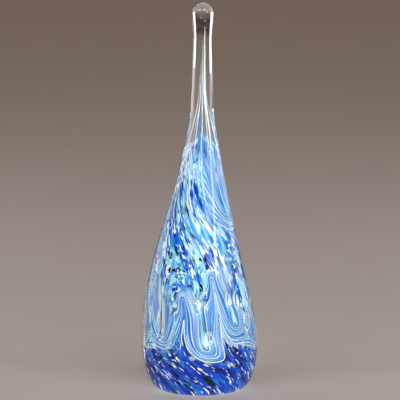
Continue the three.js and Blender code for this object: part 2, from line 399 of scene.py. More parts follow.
def raked(across, height, way):
    """Moves points with the rake strokes (way 1), or back to before them (way -1)."""
    for azimuth, foot, length, reach, share, run in STROKES[::way]:
        steps = int(abs(length) / (reach * STROKE_STEP)) + 1
        side, down = np.sign(length) * np.array((-run, -1.0)) / math.hypot(run, 1.0)
        order = range(steps) if way < 0 else reversed(range(steps))
        for step in order:
            gone = (step + 0.5) / steps * length
            gap_x = wrapped(across - (azimuth * BAND + twist(foot) + run * gone))
            gap_z = height - (foot + gone)
            along = gap_x * side + gap_z * down
            beside = gap_z * side - gap_x * down
            pull = np.exp(-(along ** 2 + beside ** 2) / reach ** 2)
            pull *= way * share * abs(length) / steps
            forward = pull * (1 - 2 * RETURN_FLOW * (beside / reach) ** 2)
            sideways = pull * 2 * RETURN_FLOW * beside * along / reach ** 2
            across = across + forward * side - sideways * down
            height = height + forward * down + sideways * side
    return across, height


def before_raking(azimuth, height):
    """Where a point of the finished core lay on the blank: across the band, and height."""
    return raked(azimuth * BAND + twist(height), np.array(height, float), -1)


def on_core(across, height):
    """Degrees and height on the finished core for a point raked from the blank."""
    across, height = raked(across, height, 1)
    return (across - twist(height)) / BAND, height


def melt(azimuth, height, depth=1.0):
    """Place in the blank of chips, wound into a roll so that it has no seam."""
    across, low = before_raking(azimuth, height)
    turn = across / LAP * FULL_TURN
    roll = LAP / FULL_TURN * depth
    return np.stack([roll * np.sin(turn), -roll * np.cos(turn), drawn(low)], -1), low


def combed(azimuth, height):
    """How tightly the rake drew level layers of glass together, from 0 (not) to 1."""
    step = 0.25
    round_step = np.degrees(step / core_radius(height))
    low = before_raking(azimuth, height)[1]
    along = before_raking(azimuth + round_step, height)[1] - low
    up = before_raking(azimuth, height + step)[1] - low
    packed = np.hypot(along, up) / step
    return np.clip((packed - COMB_START) / COMB_RANGE, 0, 1)


def trail(azimuth, height):
    """How milky the core is: at bubbles, up the paths they were drawn down, and on top."""
    milky = np.zeros(np.shape(azimuth))
    wide, tall, most = BUBBLE_MILK
    for place, middle, width, length, _, _, _ in BUBBLES:
        gap = spot(azimuth, height, place, middle, width * wide / BAND, length * tall)
        milky = np.maximum(milky, most * np.exp(-gap ** 2))
    wide, most, start, stop = TRAIL_MILK
    for stroke, bubble in TRAILED_STROKES:
        azimuth_0, foot, length, reach, _, run = STROKES[stroke]
        gone = np.clip(height - foot, 0, None)
        middle = azimuth_0 * BAND + twist(foot) + run * gone
        across = wrapped(azimuth * BAND + twist(height) - middle)
        low = BUBBLES[bubble][1]
        fade = np.clip((height - low) / start, 0, 1)
        fade = fade * np.clip((low + length - height) / stop, 0, 1)
        milky = np.maximum(milky, most * fade * np.exp(-(across / (reach * wide)) ** 2))
    for middle, level, width, tall, amount in MILKY_PATCHES:
        gap = spot(azimuth, height, middle, level, width, tall)
        milky = np.maximum(milky, amount * np.exp(-gap))
    pale = np.clip((height - PALE_TOP) / PALE_FADE, 0, 1)
    for middle, width in BLUE_STREAMS:
        pale = pale * (1 - np.exp(-(short_way(azimuth - middle) / width) ** 2))
    return np.maximum(milky, pale)


# ---- mesh helpers

def divided(whole, count):
    """Even steps round a whole turn, from nought."""
    return np.arange(count) / count * whole


def ring_grid(heights, radii, degrees):
    """Heights, degrees and radii at every point of a stack of rings."""
    tall, turn = np.meshgrid(heights, degrees, indexing="ij")
    return tall, turn, np.repeat(radii[:, None], len(degrees), 1)


def with_poles(values):
    """Values over a stack of rings in one row, then the mean of each end ring for its pole."""
    values = np.asarray(values)
    flat = values.reshape(-1, *values.shape[2:])
    return np.concatenate([flat, values[0].mean(0)[None], values[-1].mean(0)[None]])


def skin(rings):
    """Vertices and faces of a closed skin over rings of points, with poles at its ends."""
    count, size = rings.shape[:2]
    number = np.arange(count * size).reshape(count, size)
    step = np.roll(number, -1, axis=1)
    quads = np.stack([number[:-1], step[:-1], step[1:], number[1:]], -1).reshape(-1, 4)
    faces = quads.tolist()
    total = count * size
    faces += [(b, a, total) for a, b in zip(number[0].tolist(), step[0].tolist())]
    faces += [(a, b, total + 1) for a, b in zip(number[-1].tolist(), step[-1].tolist())]
    return with_poles(rings), faces


def linked(name, data):
    """A new object in the scene, at the origin."""
    result = bpy.data.objects.new(name, data)
    bpy.context.scene.collection.objects.link(result)
    return result


def mesh_piece(name, points, faces, material, smooth=True):
    """A new mesh object, whose place is in its points."""
    mesh = bpy.data.meshes.new(name)
    mesh.from_pydata(np.asarray(points).tolist(), [], [list(face) for face in faces])
    mesh.materials.append(material)
    mesh.polygons.foreach_set("use_smooth", [smooth] * len(mesh.polygons))
    mesh.update()
    return linked(name, mesh)


def add_attribute(mesh, name, kind, values):
    field = "vector" if kind == "FLOAT_VECTOR" else "value"
    data = mesh.attributes.new(name, kind, "POINT").data
    data.foreach_set(field, np.ascontiguousarray(values, np.float32).ravel())


def nodes_like(start):
    return sorted(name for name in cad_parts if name.startswith(start))


def placed(piece, slot, *nodes):
    """Ties a finished piece to the frame."""
    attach(piece, "root")
    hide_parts(*nodes)


def settled(piece, name):
    """The piece with its modifiers worked out, as a plain mesh in a new object."""
    bpy.context.view_layer.update()
    shape = piece.evaluated_get(bpy.context.evaluated_depsgraph_get())
    mesh = bpy.data.meshes.new_from_object(shape)
    mesh.name = name
    bpy.data.objects.remove(piece)
    return linked(name, mesh)


# ---- node helpers

GRID = (220, -200)


def fill(tree, node, inputs):
    """Gives a node's inputs their values, or links them to other nodes' outputs."""
    for name, value in inputs.items():
        if isinstance(value, bpy.types.NodeSocket):
            tree.links.new(value, node.inputs[name])
        else:
            node.inputs[name].default_value = value


def add_node(tree, kind, place, inputs=None, **settings):
    """A node at a place on the grid, with its settings and its inputs filled or linked."""
    node = tree.nodes.new(kind)
    node.location = (place[0] * GRID[0], place[1] * GRID[1])
    for name, value in settings.items():
        setattr(node, name, value)
    fill(tree, node, inputs or {})
    return node


def sum_of(tree, place, operation, *values):
    """The result of a sum on up to three numbers."""
    return add_node(tree, "ShaderNodeMath", place, dict(enumerate(values)),
                    operation=operation).outputs[0]


def vector_sum(tree, place, operation, inputs):
    return add_node(tree, "ShaderNodeVectorMath", place, inputs, operation=operation).outputs[0]


def ranged(tree, place, value, source=(0.0, 1.0), target=(0.0, 1.0)):
    """A number taken from one range to another, and kept within it."""
    return add_node(tree, "ShaderNodeMapRange", place,
                    {"Value": value, "From Min": source[0], "From Max": source[1],
                     "To Min": target[0], "To Max": target[1]}).outputs["Result"]


def noise(tree, place, vector, scale, detail, output="Fac", **inputs):
    return add_node(tree, "ShaderNodeTexNoise", place,
                    {"Vector": vector, "Scale": scale, "Detail": detail, **inputs}).outputs[output]


def attribute(tree, place, name, output="Fac"):
    return add_node(tree, "ShaderNodeAttribute", place, attribute_name=name).outputs[output]


def object_place(tree, place):
    return add_node(tree, "ShaderNodeTexCoord", place).outputs["Object"]


def bump(tree, place, height, strength, distance):
    """The normal of a surface with a little relief."""
    return add_node(tree, "ShaderNodeBump", place,
                    {"Height": height, "Strength": strength, "Distance": distance}
                    ).outputs["Normal"]


def mixed(tree, place, factor, first, second):
    """The result of mixing two colours; a mix node's colours are its inputs 6 and 7."""
    return add_node(tree, "ShaderNodeMix", place, {0: factor, 6: first, 7: second},
                    data_type="RGBA").outputs[2]


def blended(tree, place, value, shades, stops):
    """A smooth run of colours along a value, from stops of (value, name of a shade)."""
    ramp = add_node(tree, "ShaderNodeValToRGB", place, {"Fac": value})
    marks = ramp.color_ramp.elements
    for index, (position, shade) in enumerate(stops):
        mark = marks[index] if index < 2 else marks.new(position)
        mark.position = position
        mark.color = shades[shade]
    return ramp.outputs["Color"]


def new_group(name, kind, output, *inputs):
    """A node group and what it is given; an input is (label, kind, default if any)."""
    group = bpy.data.node_groups.new(name, kind)
    group.interface.new_socket(output, in_out="OUTPUT", socket_type="NodeSocket" + output)
    for label, socket_kind, *default in inputs:
        socket = group.interface.new_socket(
            label, in_out="INPUT", socket_type="NodeSocket" + socket_kind)
        if default:
            socket.default_value = default[0]
    return group, add_node(group, "NodeGroupInput", (0, 0)).outputs


def new_material(name):
    material = bpy.data.materials.new(name)
    material.use_nodes = True
    return material, material.node_tree, material.node_tree.nodes["Principled BSDF"]


def add_modifier(piece, group, values):
    """A geometry modifier whose inputs are found by their names."""
    modifier = piece.modifiers.new(group.name, "NODES")
    modifier.node_group = group
    for item in group.interface.items_tree:
        if item.item_type == "SOCKET" and item.in_out == "INPUT" and item.name in values:
            modifier[item.identifier] = values[item.name]


# ---- finishes

GLASS_IOR = 1.5
# Clear glass: roughness, how close its relief is in x, y and z, and the relief's detail,
# strength and depth. Fire polish leaves faint upright lines, and grinding leaves grain.
POLISHED = (0.0, (260.0, 260.0, 16.0), 1.0, 0.12, 0.0001)
GROUND = (0.35, (2600.0, 2600.0, 2600.0), 3.0, 0.4, 0.00005)

# Opaque glass: the part of a noise that is drift in its colour, and its roughness.
DRIFT_RANGE = (0.35, 0.7)
OPAL_ROUGHNESS = (0.2, 0.4)

# The marbled core.
EDGE_GRAIN = 2.3  # bends along the edge of a chip, for each width of the chip
EDGE_MELT = 0.8  # how far they pull the edge about, as a share of that width
CHIP_EDGE = 0.07  # softness of a chip's edge
CHIP_SHIFT = 17.3  # millimetres from each layer's pattern to the next one's
BLEND_SCALE = 0.75  # clouds of blue, for each width of a chip
STREAK_SCALE = 1.1  # streaks in the milk, for each millimetre
MILK_GAIN = 1.4
COMBED_CLEAR = -0.75  # change in the milk where the glass is combed
STRIPE_SCALE = 0.27
STRIPE_ROUGHNESS = 0.55
CORE_ROUGHNESS = (0.22, 0.45)
CORE_RELIEF = (0.15, 0.0002)  # strength and depth

SHADES = ("sky", "azure", "royal", "aqua", "teal", "white", "cobalt", "navy", "dark", "lilac")

# Colours along a noise, lowest first: the body, the foot, the milk and the combed stripes.
BODY_BLEND = ((0.36, "royal"), (0.45, "sky"), (0.55, "azure"), (0.68, "aqua"))
FOOT_BLEND = ((0.38, "navy"), (0.45, "cobalt"), (0.53, "royal"), (0.61, "sky"))
MILK_BLEND = ((0.47, "lilac"), (0.54, "white"), (0.60, "aqua"))
STRIPES = (
    (0.32, "royal"), (0.39, "azure"), (0.425, "white"), (0.445, "azure"), (0.475, "sky"),
    (0.491, "navy"), (0.505, "azure"), (0.535, "sky"), (0.553, "white"), (0.57, "azure"),
    (0.60, "sky"), (0.612, "navy"), (0.625, "azure"), (0.65, "white"), (0.68, "sky"),
)

# Layers of melted chips, undermost first: shade, size, share of places that have a chip,
# how far a chip reaches, and where the layer is.
CHIP_LAYERS = (
    ("aqua", 1.0, 0.20, 0.5, "above"),
    ("royal", 1.0, 0.11, 0.42, "whole"),
    ("white", 1.0, 0.21, 0.48, "above"),
    ("cobalt", 1.0, 0.06, 0.42, "whole"),
    ("aqua", 0.5, 0.15, 0.6, "above"),
    ("teal", 0.45, 0.06, 0.5, "above"),
    ("sky", 0.6, 0.20, 0.5, "foot"),
    ("white", 0.4, 0.15, 0.6, "above"),
    ("white", 0.3, 0.19, 0.5, "foot"),
    ("dark", 0.4, 0.10, 0.5, "foot"),
    ("royal", 0.5, 0.10, 0.6, "whole"),
    ("cobalt", 0.3, 0.06, 0.7, "whole"),
    ("white", 0.27, 0.09, 0.65, "above"),
    ("dark", 0.33, 0.12, 0.6, "whole"),
)


def melted_edges_group():
    """Shader group: pulls a chip pattern's place about, so that its edges look melted."""
    group, given = new_group(
        "Melted edges", "ShaderNodeTree", "Vector",
        ("Vector", "Vector"), ("Size", "Float", 3.0), ("Amount", "Float", 1.3))
    scale = sum_of(group, (1, 1), "DIVIDE", EDGE_GRAIN, given["Size"])
    cloud = noise(group, (2, 0), given["Vector"], scale, 1.0, "Color")
    centred = vector_sum(group, (3, 0), "SUBTRACT", {0: cloud, 1: (0.5, 0.5, 0.5)})
    grown = vector_sum(group, (4, 0), "SCALE", {0: centred, "Scale": given["Amount"]})
    moved = vector_sum(group, (5, 0), "ADD", {0: given["Vector"], 1: grown})
    add_node(group, "NodeGroupOutput", (6, 0), {"Vector": moved})
    return group


def chip_layer_group():
    """Shader group: lays one size of glass chip over a colour, with softly melted edges."""
    group, given = new_group(
        "Chip layer", "ShaderNodeTree", "Color",
        ("Vector", "Vector"), ("Under", "Color"), ("Chip", "Color"), ("Size", "Float", 1.0),
        ("Shift", "Float", 0.0), ("Share", "Float", 0.1), ("Reach", "Float", 0.6),
        ("Where", "Float", 1.0))
    moved = vector_sum(group, (1, 0), "ADD", {0: given["Vector"], 1: given["Shift"]})
    scale = sum_of(group, (1, 1), "DIVIDE", 1.0, given["Size"])
    cells = add_node(group, "ShaderNodeTexVoronoi", (2, 0), {"Vector": moved, "Scale": scale})
    parts = add_node(group, "ShaderNodeSeparateColor", (3, 0), {0: cells.outputs["Color"]})
    picked = sum_of(group, (4, 0), "LESS_THAN", parts.outputs[0], given["Share"])
    spare = sum_of(group, (3, 1), "SUBTRACT", given["Reach"], cells.outputs["Distance"])
    inside = ranged(group, (4, 1), spare, (0.0, CHIP_EDGE))
    mask = sum_of(group, (5, 0), "MULTIPLY", picked, inside)
    held = sum_of(group, (6, 0), "MULTIPLY", mask, given["Where"])
    colour = mixed(group, (7, 0), held, given["Under"], given["Chip"])
    add_node(group, "NodeGroupOutput", (8, 0), {"Color": colour})
    return group


def marbled_material(colours):
    """Opaque core: a soft blend of blues under several sizes of melted chip."""
    material, tree, shader = new_material("marbled_core_glass")
    chip = colours.chip / MM
    shades = {name: (*getattr(colours, name), 1.0) for name in SHADES}
    place = attribute(tree, (0, 0), "melt", "Vector")
    edged = add_node(tree, "ShaderNodeGroup", (1, 0), {"Vector": place},
                     node_tree=melted_edges_group())
    fill(tree, edged, {"Size": chip, "Amount": chip * EDGE_MELT})

    wide = noise(tree, (1, 2), place, BLEND_SCALE / chip, 2.0)
    foot = attribute(tree, (2, 5), "foot")
    colour = mixed(tree, (4, 2), foot, blended(tree, (2, 2), wide, shades, BODY_BLEND),
                   blended(tree, (2, 3), wide, shades, FOOT_BLEND))
    drag = attribute(tree, (0, 7), "combed")
    bands = noise(tree, (1, 6), attribute(tree, (0, 6), "layers", "Vector"), STRIPE_SCALE, 2.0,
                  Roughness=STRIPE_ROUGHNESS)
    colour = mixed(tree, (4, 6), drag, colour, blended(tree, (2, 6), bands, shades, STRIPES))

    whole = sum_of(tree, (2, 7), "SUBTRACT", 1.0, drag)
    above = sum_of(tree, (4, 7), "MULTIPLY", sum_of(tree, (3, 5), "SUBTRACT", 1.0, foot), whole)
    where = {"foot": foot, "whole": whole, "above": above}
    layer = chip_layer_group()
    for index, (shade, size, share, reach, part) in enumerate(CHIP_LAYERS):
        node = add_node(tree, "ShaderNodeGroup", (5 + index, 0), node_tree=layer)
        fill(tree, node, {"Vector": edged.outputs["Vector"], "Under": colour,
                          "Where": where[part], "Chip": shades[shade], "Size": chip * size,
                          "Shift": CHIP_SHIFT * index, "Share": share, "Reach": reach})
        colour = node.outputs["Color"]

    streaks = noise(tree, (13, 4), place, STREAK_SCALE, 2.0)
    share = sum_of(tree, (14, 3), "MULTIPLY", attribute(tree, (13, 3), "trail"), streaks)
    gained = sum_of(tree, (15, 3), "MULTIPLY", share, MILK_GAIN)
    clear = sum_of(tree, (15, 4), "MULTIPLY_ADD", drag, COMBED_CLEAR, 1.0)
    veil = sum_of(tree, (15, 5), "MULTIPLY", gained, clear)
    milk = blended(tree, (15, 2), wide, shades, MILK_BLEND)
    fill(tree, shader, {
        "Base Color": mixed(tree, (16, 0), veil, colour, milk),
        "Roughness": ranged(tree, (16, 2), wide, target=CORE_ROUGHNESS),
        "Normal": bump(tree, (16, 3), wide, *CORE_RELIEF),
        "Specular IOR Level": 0.0})
    return material


def glass_material(name, tint, roughness, closeness, detail, strength, depth):
    """Clear glass with fine relief."""
    material, tree, shader = new_material(name)
    along = add_node(tree, "ShaderNodeMapping", (-2, 1),
                     {"Vector": object_place(tree, (-3, 1)), "Scale": closeness})
    lines = noise(tree, (-1, 1), along.outputs["Vector"], 1.0, detail)
    fill(tree, shader, {
        "Base Color": (*tint, 1), "Roughness": roughness, "IOR": GLASS_IOR,
        "Transmission Weight": 1.0, "Normal": bump(tree, (0, 1), lines, strength, depth)})
    return material


def opal_material(name, colour, other, scale=420.0, amount=0.35, upper=None):
    """Opaque coloured glass that drifts a little towards a second colour.

    upper gives a colour that it fades to, and the heights where that starts and ends.
    """
    material, tree, shader = new_material(name)
    where = object_place(tree, (-4, 0))
    cloud = noise(tree, (-3, 0), where, scale, 3.0)
    share = ranged(tree, (-2, 0), cloud, DRIFT_RANGE, (0.0, amount))
    shade = mixed(tree, (-1, 0), share, (*colour, 1), (*other, 1))
    if upper:
        last, start, stop = upper
        parts = add_node(tree, "ShaderNodeSeparateXYZ", (-3, 1), {"Vector": where})
        fade = ranged(tree, (-2, 1), parts.outputs["Z"], (start, stop))
        shade = mixed(tree, (-1, 1), fade, shade, (*last, 1))
    fill(tree, shader, {
        "Base Color": shade, "Roughness": ranged(tree, (-1, 2), cloud, target=OPAL_ROUGHNESS),
        "Specular IOR Level": 0.0})
    return material


# ---- geometry node trees

def end_tree(group, column, geometry, material):
    """The last nodes of a geometry tree, which make its instances real and dress them."""
    real = add_node(group, "GeometryNodeRealizeInstances", (column, 0), {"Geometry": geometry})
    done = add_node(group, "GeometryNodeSetMaterial", (column + 1, 0),
                    {"Geometry": real.outputs["Geometry"], "Material": material})
    add_node(group, "NodeGroupOutput", (column + 2, 0), {"Geometry": done.outputs["Geometry"]})
    return group


def strand_tree():
    """Geometry nodes: gives curves a round section whose size follows their radius."""
    group, given = new_group(
        "Drawn strands", "GeometryNodeTree", "Geometry",
        ("Geometry", "Geometry"), ("Thickness", "Float", 0.0005), ("Sides", "Int", 6),
        ("Material", "Material"))
    half = sum_of(group, (1, 1), "MULTIPLY", given["Thickness"], 0.5)
    ring = add_node(group, "GeometryNodeCurvePrimitiveCircle", (2, 1),
                    {"Resolution": given["Sides"], "Radius": half})
    width = add_node(group, "GeometryNodeInputNamedAttribute", (2, 2), {"Name": "radius"},
                     data_type="FLOAT")
    tube = add_node(group, "GeometryNodeCurveToMesh", (3, 0),
                    {"Curve": given["Geometry"], "Profile Curve": ring.outputs["Curve"],
                     "Scale": width.outputs["Attribute"], "Fill Caps": True})
    return end_tree(group, 4, tube.outputs["Mesh"], given["Material"])


def chip_tree():
    """Geometry nodes: sets a chip on every point, lying on the surface along the flow."""
    group, given = new_group(
        "Set chips", "GeometryNodeTree", "Geometry",
        ("Geometry", "Geometry"), ("Chip", "Object"), ("Smallest", "Float", 0.7),
        ("Largest", "Float", 1.3), ("Seed", "Int", 1), ("Material", "Material"))
    read = {name: add_node(group, "GeometryNodeInputNamedAttribute", (0, row), {"Name": name},
                           data_type="FLOAT_VECTOR").outputs["Attribute"]
            for row, name in ((2, "outward"), (3, "flow"), (4, "size"))}
    shape = add_node(group, "GeometryNodeObjectInfo", (1, 1), {"Object": given["Chip"]})
    turn = add_node(group, "FunctionNodeAxesToRotation", (1, 2),
                    {"Primary Axis": read["outward"], "Secondary Axis": read["flow"]},
                    primary_axis="Z", secondary_axis="X")
    vary = add_node(group, "FunctionNodeRandomValue", (1, 4),
                    {"Seed": given["Seed"], 2: given["Smallest"], 3: given["Largest"]},
                    data_type="FLOAT")
    size = vector_sum(group, (2, 3), "SCALE", {0: read["size"], "Scale": vary.outputs[1]})
    chips_set = add_node(
        group, "GeometryNodeInstanceOnPoints", (3, 0),
        {"Points": given["Geometry"], "Instance": shape.outputs["Geometry"],
         "Rotation": turn.outputs["Rotation"], "Scale": size})
    return end_tree(group, 4, chips_set.outputs["Instances"], given["Material"])


def strands(name, paths, thickness, sides, material):
    """One mesh of strands from paths, each a list of points and of relative radii."""
    curve = bpy.data.curves.new(name, "CURVE")
    curve.dimensions = "3D"
    for points, radii in paths:
        spline = curve.splines.new("POLY")
        spline.points.add(len(points) - 1)
        spline.points.foreach_set("co", np.hstack([points, np.ones((len(points), 1))]).ravel())
        spline.points.foreach_set("radius", np.asarray(radii, float))
    source = linked(name, curve)
    group = bpy.data.node_groups.get("Drawn strands") or strand_tree()
    add_modifier(source, group, {"Thickness": thickness, "Sides": sides, "Material": material})
    result = settled(source, name)
    result.data.polygons.foreach_set("use_smooth", [True] * len(result.data.polygons))
    return result


# A flake's broken outline, and how wide and high each of its rings is.
FLAKE_REACH = np.array((1.0, 0.72, 0.9, 0.66, 0.95, 0.78, 0.86, 0.7))
FLAKE_RINGS = ((0.55, -1.0), (1.0, -0.2), (0.9, 0.5), (0.5, 1.0))


def chip_shape():
    """A flat flake with a broken outline, for instancing."""
    angle = divided(FULL_TURN, len(FLAKE_REACH))
    rings = []
    for spread, lift in FLAKE_RINGS:
        radius = 0.5 * spread * FLAKE_REACH
        rings.append(np.stack([radius * np.cos(angle), radius * np.sin(angle),
                               np.full(len(angle), 0.5 * lift)], -1))
    points, faces = skin(np.array(rings))
    mesh = bpy.data.meshes.new("chip_shape")
    mesh.from_pydata(points.tolist(), [], [list(face) for face in faces])
    return bpy.data.objects.new("chip_shape", mesh)


def flow_at(azimuth, height):
    """At points of the core: where the glass was drawn out to, outward, and how much."""
    step = 0.15
    here = melt(azimuth, height)[0]
    round_step = np.degrees(step / core_radius(height))
    across = (melt(azimuth + round_step, height)[0] - here) / step
    upwards = (melt(azimuth, height + step)[0] - here) / step
    a, b, c = (across ** 2).sum(-1), (across * upwards).sum(-1), (upwards ** 2).sum(-1)
    middle, spread = (a + c) / 2, np.sqrt(((a - c) / 2) ** 2 + b ** 2)
    least, most = np.maximum(middle - spread, 1e-4), middle + spread
    turn = np.arctan2(least - a, b)
    tangent = core_points(azimuth + round_step, height) - core_points(azimuth, height)
    rise = core_points(azimuth, height + step) - core_points(azimuth, height)
    flow = np.cos(turn)[:, None] * tangent + np.sin(turn)[:, None] * rise
    flow /= np.linalg.norm(flow, axis=1)[:, None]
    outward = np.cross(tangent, rise)
    outward /= np.linalg.norm(outward, axis=1)[:, None]
    return flow, outward, np.sqrt(most / least)


# A chip: least and most drawn out, share of its width that it keeps, thickness and how deep
# it is sunk in millimetres, least and most that it is scaled by, and the seed of that.
CHIP_DRAWN = (1.8, 4.5)
CHIP_WIDTH = 0.6
CHIP_THICKNESS = 0.5
CHIP_SUNK = 0.06
CHIP_SCALES = (0.7, 1.35)
CHIP_SCALE_SEED = 3


def chips(name, azimuth, height, width, material):
    """One mesh of chips lying in the core's surface at the places given."""
    flow, outward, drawn_out = flow_at(azimuth, height)
    size = np.stack([width * np.clip(drawn_out, *CHIP_DRAWN), width * CHIP_WIDTH,
                     np.full(len(width), CHIP_THICKNESS)], -1) * MM
    cloud = mesh_piece(name, core_points(azimuth, height, -CHIP_SUNK), [], material)
    for label, values in (("flow", flow), ("outward", outward), ("size", size)):
        add_attribute(cloud.data, label, "FLOAT_VECTOR", values)
    group = bpy.data.node_groups.get("Set chips") or chip_tree()
    add_modifier(cloud, group, {
        "Chip": bpy.data.objects.get("chip_shape") or chip_shape(), "Seed": CHIP_SCALE_SEED,
        "Smallest": CHIP_SCALES[0], "Largest": CHIP_SCALES[1], "Material": material})
    return settled(cloud, name)


# ---- pieces

def bubble_place(bubble, beside, share):
    """Degrees and heights beside a bubble's middle line (-1 to 1) at shares of its length."""
    place, middle, width, length, _, taper, _ = bubble
    across = beside * (1 - taper * (share + 1) / 2) * width / 2
    return place + np.degrees(across / core_radius(middle)), middle + share * length / 2


def bubble_skin(bubble, rings=18, sides=20):
    """A bubble's wall, facing into the air, following the core's surface."""
    thick, taper, proud = bubble[4:]
    share = -np.cos(np.linspace(0, math.pi, rings + 2))[1:-1]
    share = np.repeat(share[:, None], sides, 1)
    angle = divided(FULL_TURN, sides)
    girth = np.sqrt(1 - share ** 2)
    degrees, tall = bubble_place(bubble, girth * np.cos(angle), share)
    out = proud + girth * (1 - taper * (share + 1) / 2) * thick / 2 * np.sin(angle)
    points = around(core_shift(tall), core_radius(tall) + out, degrees, tall)
    return skin(points[:, ::-1])


# Pin-prick bubbles: heights they lie between, share of the way out from the core, radii in
# millimetres, the radius of the two in the tip, and that of the threads, which they clear.
SEED_HEIGHTS = (14, 122)
SEED_DEPTHS = (0.35, 0.75)
SEED_RADII = (0.1, 0.24)
BEAD_SEED_RADIUS = 0.3
NECK_MIDDLE = 1.4


def seed_places(count):
    """Middles and radii of the pin-prick bubbles between the core and the outside."""
    rng = np.random.default_rng(11)
    places = [(np.array(middle) * MM, BEAD_SEED_RADIUS * MM) for middle in BEAD_SEEDS]
    for _ in range(count):
        height = rng.uniform(*SEED_HEIGHTS)
        degrees = rng.uniform(-180, 180)
        inner = core_radius(height) if height < CORE_TOP else NECK_MIDDLE
        outer = np.interp(height, glass_line[:, 1], glass_line[:, 0])
        radius = inner + (outer - inner) * rng.uniform(*SEED_DEPTHS)
        middle = around(glass_shift(height), radius, np.array(degrees), height)
        places.append((middle, rng.uniform(*SEED_RADII) * MM))
    return places


def seed_skin(middle, radius, rings=5, sides=8):
    turn = np.linspace(0, math.pi, rings + 2)[1:-1]
    angle = -divided(FULL_TURN, sides)
    points = np.stack([np.outer(np.sin(turn), np.cos(angle)),
                       np.outer(np.sin(turn), np.sin(angle)),
                       np.repeat(-np.cos(turn)[:, None], sides, 1)], -1)
    return skin(middle + points * radius)


# Soft waves in the casing: how many in a turn, and millimetres up for each radian. Drawn
# lines: how many, how far and how slowly they wander, and where and how softly they start.
# Both die out over the last millimetres of each end.
WAVES = ((2, 17.0), (3, -11.0))
DRAWN_LINES = (7, 1.3, 31.0, 70.0, 30.0)
WAVE_ENDS = 6.0


def waves(turn, tall, ripple, striae):
    """Soft waves of hand shaping, and drawn lines above the shoulder; none at the ends."""
    side = np.radians(turn)
    free = np.clip(tall / WAVE_ENDS, 0, 1) * np.clip((HEIGHT - tall) / WAVE_ENDS, 0, 1)
    soft = sum(np.sin(count * side + tall / rise) for count, rise in WAVES)
    count, wander, slow, start, rise = DRAWN_LINES
    fine = np.sin(count * side + wander * np.sin(tall / slow))
    return free * (ripple * soft + striae * fine * np.clip((tall - start) / rise, 0, 1))


class RINGHOLDER_OT_casing(bpy.types.Operator):
    """Make the clear casing with its neck, tip, ground foot and trapped bubbles"""

    bl_idname = "ring_holder.casing"
    bl_label = "Clear casing"

    sides = 160
    rings = 330
    foot_rings = 6

    def execute(self, context):
        glass = context.scene.ring_holder_glass
        run = np.concatenate([[0], np.cumsum(np.hypot(*np.diff(glass_line, axis=0).T))])
        even = np.linspace(0, run[-1], self.rings)[:-1]
        radii = np.interp(even, run, glass_line[:, 0])
        heights = np.interp(even, run, glass_line[:, 1])
        foot = np.linspace(0, radii[0], self.foot_rings + 1)[1:-1]
        tall, turn, wide = ring_grid(np.concatenate([np.zeros(len(foot)), heights]),
                                     np.concatenate([foot, radii]),
                                     divided(360.0, self.sides))
        wide = wide + waves(turn, tall, glass.ripple / MM, glass.striae / MM)
        walls = [skin(around(glass_shift(tall), wide, turn, tall))]
        walls += [bubble_skin(bubble) for bubble in BUBBLES]
        walls += [seed_skin(*place) for place in seed_places(glass.seeds)]
        faces, total = [], 0
        for points, wall_faces in walls:
            faces += [[corner + total for corner in face] for face in wall_faces]
            total += len(points)
        piece = mesh_piece("clear_casing_glass", np.vstack([points for points, _ in walls]),
                           faces, glass_material("clear_glass", glass.tint, *POLISHED))
        piece.data.materials.append(glass_material("ground_foot_glass", glass.tint, *GROUND))
        for face in piece.data.polygons:
            if face.normal.z < -0.99 and face.center.z < FIT * MM:
                face.material_index = 1
        piece.visible_shadow = False
        placed(piece, "clear_glass", "clear_casing")
        return {"FINISHED"}


class RINGHOLDER_OT_core(bpy.types.Operator):
    """Make the marbled colour layer of the core"""

    bl_idname = "ring_holder.core"
    bl_label = "Colour layer"

    sides = 320
    rings = 232
    inner_rings = 14

    def execute(self, context):
        heights = np.linspace(FOOT_RECESS, CORE_TOP, self.rings)
        inside = np.linspace(HEART_TOP, FOOT_RECESS, self.inner_rings)
        hollow = core_radius(inside) - LAYER + FIT
        radii = np.concatenate([hollow, core_radius(heights)])
        heights = np.concatenate([inside, heights])
        depth = radii / core_radius(heights)
        tall, turn, wide = ring_grid(heights, radii, divided(360.0, self.sides) - 180.0)
        outer = slice(self.inner_rings, None)
        wide[outer] *= tongue_share(turn[outer], tall[outer])
        wide[outer] -= dent(turn[outer], tall[outer])
        points, faces = skin(around(core_shift(tall), wide, turn, tall))
        place, low = melt(turn, tall, depth[:, None])
        layers = np.stack([place[..., 0] * LAYER_DRIFT, place[..., 1] * LAYER_DRIFT, low], -1)
        foot = np.clip((FOOT_COLOUR_TOP - low) / FOOT_COLOUR_FADE, 0, 1)
        drag = combed(turn, tall) * (1 - FOOT_UNCOMBED * foot)
        piece = mesh_piece("colour_layer_glass", points, faces,
                           marbled_material(context.scene.ring_holder_colours))
        for name, kind, values in (
                ("melt", "FLOAT_VECTOR", place), ("layers", "FLOAT_VECTOR", layers),
                ("foot", "FLOAT", foot), ("trail", "FLOAT", trail(turn, tall)),
                ("combed", "FLOAT", drag)):
            add_attribute(piece.data, name, kind, with_poles(values))
        placed(piece, "sky_blue_glass", "colour_layer")
        return {"FINISHED"}


